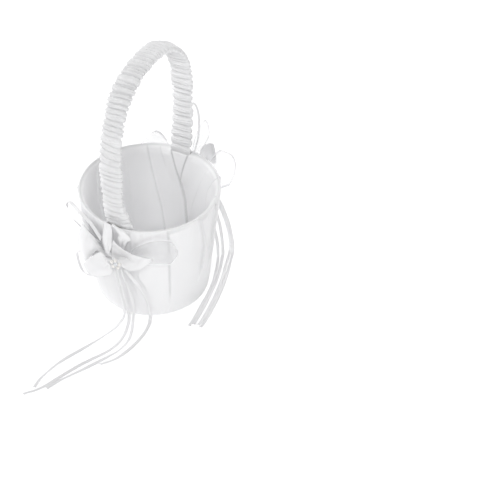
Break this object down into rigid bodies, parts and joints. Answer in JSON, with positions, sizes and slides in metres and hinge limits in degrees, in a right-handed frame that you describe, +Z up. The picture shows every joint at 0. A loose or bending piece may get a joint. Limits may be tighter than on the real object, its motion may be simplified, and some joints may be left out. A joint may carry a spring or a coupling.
{
  "type": "flower girl basket",
  "caption": "Satin-covered tapered bucket basket with a ruched arch handle, a thin rim welt and flower bows with ribbon tails at front and back.",
  "frame": {"origin": "centre of the flat base, at the level of the surface that the basket stands on", "axes": "+Z up; the handle's arch stands in the YZ plane; -Y towards the front bow, +X to its right"},
  "size_m": [0.1331, 0.2602, 0.2487],
  "materials": {
    "white_satin": "white polyester satin with a soft sheen",
    "lining_satin": "duller white satin, loosely pleated",
    "white_organza": "sheer white organza with a narrow satin edge",
    "ribbon_satin": "narrow white satin ribbon",
    "grey_card": "uncoated grey board",
    "white_plastic": "matt white strip",
    "white_felt": "white craft felt",
    "hot_glue": "set hot-melt glue",
    "pearl": "pearlescent coated bead",
    "rhinestone": "clear faceted acrylic stone"
  },
  "bodies": {
    "root": {"outer_cover": "white_satin", "base_cover": "white_satin", "rim_welt": "white_satin", "handle_sleeve": "white_satin", "front_knot": "white_satin", "back_knot": "white_satin", "front_petal_left": "white_satin", "front_petal_low": "white_satin", "front_petal_calla": "white_satin", "front_petal_fold": "white_satin", "front_petal_top": "white_satin", "back_petal_left": "white_satin", "back_petal_low": "white_satin", "back_petal_right": "white_satin", "back_petal_fold": "white_satin", "lining": "lining_satin", "lining_base": "lining_satin", "front_organza_left_high": "white_organza", "front_organza_left_low": "white_organza", "front_organza_right": "white_organza", "back_organza_high": "white_organza", "back_organza_right": "white_organza", "back_organza_left": "white_organza", "front_loop_high": "ribbon_satin", "front_loop_low": "ribbon_satin", "back_loop_tall": "ribbon_satin", "back_loop_low": "ribbon_satin", "front_tail_1": "ribbon_satin", "front_tail_2": "ribbon_satin", "front_tail_3": "ribbon_satin", "front_tail_4": "ribbon_satin", "back_tail_1": "ribbon_satin", "back_tail_2": "ribbon_satin", "back_tail_3": "ribbon_satin", "back_tail_4": "ribbon_satin", "wall_board": "grey_card", "base_board": "grey_card", "handle_strip": "white_plastic", "front_backing": "white_felt", "back_backing": "white_felt", "front_foot_pad": "hot_glue", "back_foot_pad": "hot_glue", "front_pearl_1": "pearl", "front_pearl_2": "pearl", "front_pearl_3": "pearl", "front_pearl_4": "pearl", "front_pearl_5": "pearl", "back_pearl_1": "pearl", "back_pearl_2": "pearl", "back_pearl_3": "pearl", "back_pearl_4": "pearl", "back_pearl_5": "pearl", "front_rhinestone": "rhinestone", "back_rhinestone": "rhinestone"}
  },
  "joints": []
}
